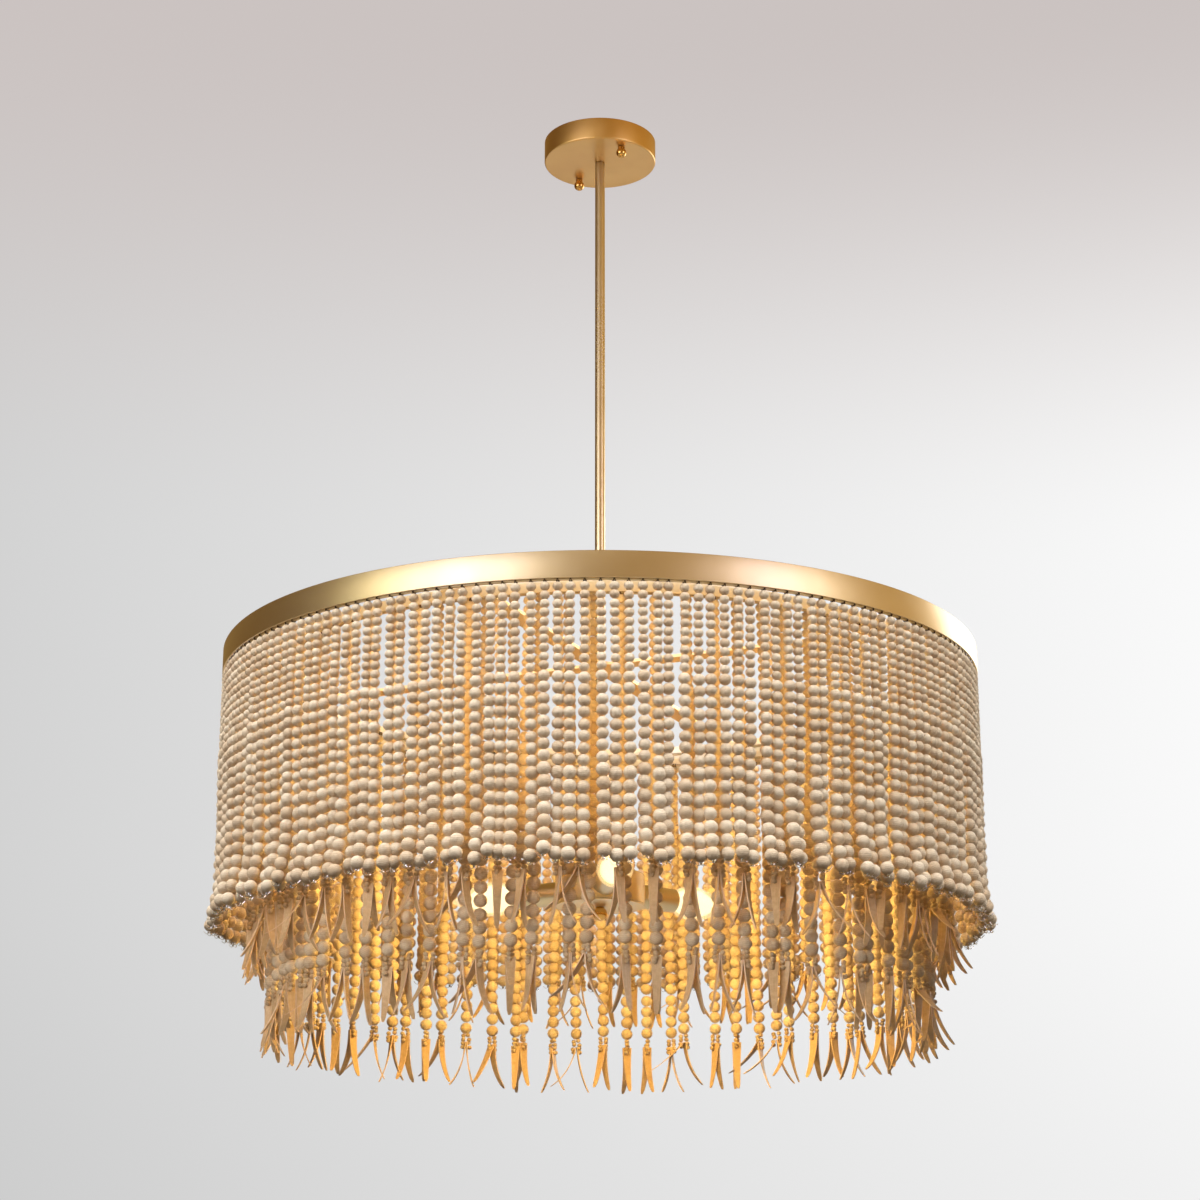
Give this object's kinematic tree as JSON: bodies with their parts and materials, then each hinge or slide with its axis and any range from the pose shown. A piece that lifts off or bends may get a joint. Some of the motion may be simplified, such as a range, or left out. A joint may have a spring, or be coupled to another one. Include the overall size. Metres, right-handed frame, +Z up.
{
  "type": "beaded chandelier",
  "caption": "Round drum chandelier on a straight stem: a gold hoop frame hung with graded wooden bead strands, leaf pendants below and candle lamps inside.",
  "frame": {"origin": "centre of the crossbar's top face, on the ceiling plane", "axes": "+Z up towards the ceiling along the stem; -Y towards the front lamp, within 7 degrees; +X to the right"},
  "size_m": [0.78, 0.78, 0.9878],
  "materials": {
    "satin_gold": "satin champagne gold lacquer",
    "polished_brass": "polished",
    "zinc_steel": "zinc plated",
    "bead_wood": "unvarnished pale wood, fine fibrous grain",
    "holder_plastic": "moulded phenolic",
    "lamp_glass": "clear glass, lit",
    "leaf_leather": "thin beige leather strip",
    "seed_wood": "unvarnished tan seed beads",
    "thread": "waxed twisted thread",
    "crimp_metal": "bright",
    "lamp_cap": "nickel plated screw shell",
    "filament": "glowing"
  },
  "bodies": {
    "fixture": {"canopy": "satin_gold", "stem_upper": "satin_gold", "stem_lower": "satin_gold", "spider_plate": "satin_gold", "outer_band": "satin_gold", "middle_hoop": "satin_gold", "inner_hoop": "satin_gold", "hub_body": "satin_gold", "hub_cover": "satin_gold", "lamp_sleeve_1": "satin_gold", "lamp_sleeve_2": "satin_gold", "lamp_sleeve_3": "satin_gold", "ceiling_crossbar": "zinc_steel", "canopy_stud_1": "zinc_steel", "canopy_stud_2": "zinc_steel", "canopy_nipple": "zinc_steel", "canopy_nipple_nut": "zinc_steel", "stem_coupling": "zinc_steel", "hub_rod": "zinc_steel", "hub_nut": "zinc_steel", "lamp_nipple_1": "zinc_steel", "lamp_nipple_2": "zinc_steel", "lamp_nipple_3": "zinc_steel", "lamp_holder_1": "holder_plastic", "lamp_holder_2": "holder_plastic", "lamp_holder_3": "holder_plastic", "outer_curtain_01": "bead_wood", "outer_curtain_02": "bead_wood", "outer_curtain_03": "bead_wood", "outer_curtain_04": "bead_wood", "outer_curtain_05": "bead_wood", "outer_curtain_06": "bead_wood", "outer_curtain_07": "bead_wood", "outer_curtain_08": "bead_wood", "outer_curtain_09": "bead_wood", "outer_curtain_10": "bead_wood", "outer_curtain_11": "bead_wood", "outer_curtain_12": "bead_wood", "middle_tier_01": "bead_wood", "middle_tier_02": "bead_wood", "middle_tier_03": "bead_wood", "middle_tier_04": "bead_wood", "middle_tier_05": "bead_wood", "middle_tier_06": "bead_wood", "middle_tier_07": "bead_wood", "middle_tier_08": "bead_wood", "inner_tier_01": "bead_wood", "inner_tier_02": "bead_wood", "inner_tier_03": "bead_wood", "inner_tier_04": "bead_wood", "inner_tier_05": "bead_wood", "inner_tier_06": "bead_wood", "inner_tier_07": "bead_wood", "inner_tier_08": "bead_wood"},
    "ball_nut_1": {"canopy_ball_nut_1": "polished_brass"},
    "ball_nut_2": {"canopy_ball_nut_2": "polished_brass"},
    "finial": {"hub_finial": "polished_brass"},
    "lamp_1": {"bulb_1": "lamp_glass"},
    "lamp_2": {"bulb_2": "lamp_glass"},
    "lamp_3": {"bulb_3": "lamp_glass"}
  },
  "joints": [
    {"name": "ball_nut_1_turn", "type": "hinge", "parent": "fixture", "child": "ball_nut_1", "pos_m": [0.02275, -0.0394, -0.0309], "axis": [0, 0, 1], "continuous": true},
    {"name": "ball_nut_2_turn", "type": "hinge", "parent": "fixture", "child": "ball_nut_2", "pos_m": [-0.02275, 0.0394, -0.0309], "axis": [0, 0, 1], "continuous": true},
    {"name": "finial_turn", "type": "hinge", "parent": "fixture", "child": "finial", "pos_m": [0, 0, -0.8427], "axis": [0, 0, 1], "continuous": true},
    {"name": "bulb_1_turn", "type": "hinge", "parent": "fixture", "child": "lamp_1", "pos_m": [0.01462, -0.11911, -0.82], "axis": [0.1219, -0.9925, 0], "continuous": true},
    {"name": "bulb_2_turn", "type": "hinge", "parent": "fixture", "child": "lamp_2", "pos_m": [0.09584, 0.07222, -0.82], "axis": [0.7986, 0.6018, 0], "continuous": true},
    {"name": "bulb_3_turn", "type": "hinge", "parent": "fixture", "child": "lamp_3", "pos_m": [-0.11046, 0.04689, -0.82], "axis": [-0.9205, 0.3907, 0], "continuous": true}
  ]
}
